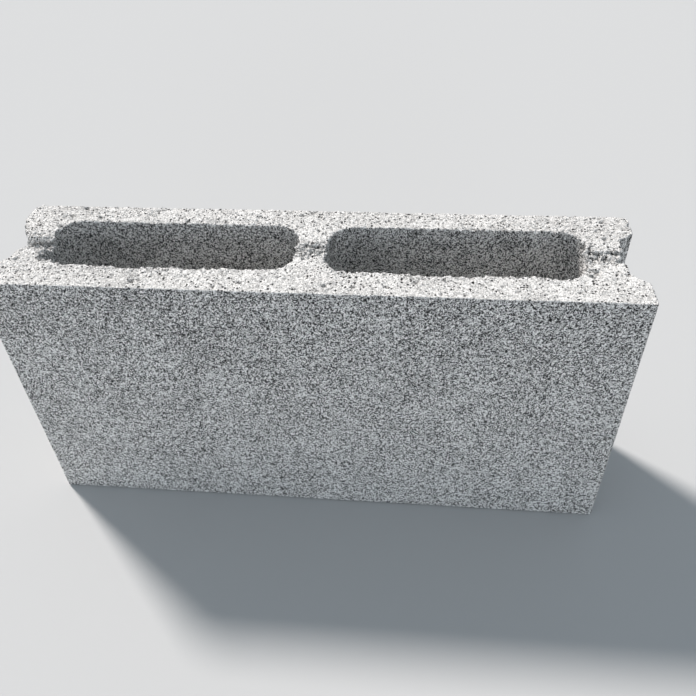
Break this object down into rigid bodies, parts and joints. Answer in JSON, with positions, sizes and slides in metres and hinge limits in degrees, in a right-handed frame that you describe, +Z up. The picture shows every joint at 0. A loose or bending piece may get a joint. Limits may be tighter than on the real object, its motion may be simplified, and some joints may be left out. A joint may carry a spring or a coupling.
{
  "type": "hollow concrete block",
  "caption": "Half-width hollow concrete block with tapered rounded cells open top and bottom, a mortar groove in each end and a core bar slot over the webs.",
  "frame": {"origin": "centre of the underside, on the level surface that the block stands on", "axes": "+X along the block's length, +Y through its thickness away from the front face, +Z up"},
  "size_m": [0.397, 0.092, 0.194],
  "materials": {
    "block_concrete": "dry-pressed light grey concrete, matt, open and granular with dark pits"
  },
  "bodies": {
    "root": {"hollow_block": "block_concrete"}
  },
  "joints": []
}
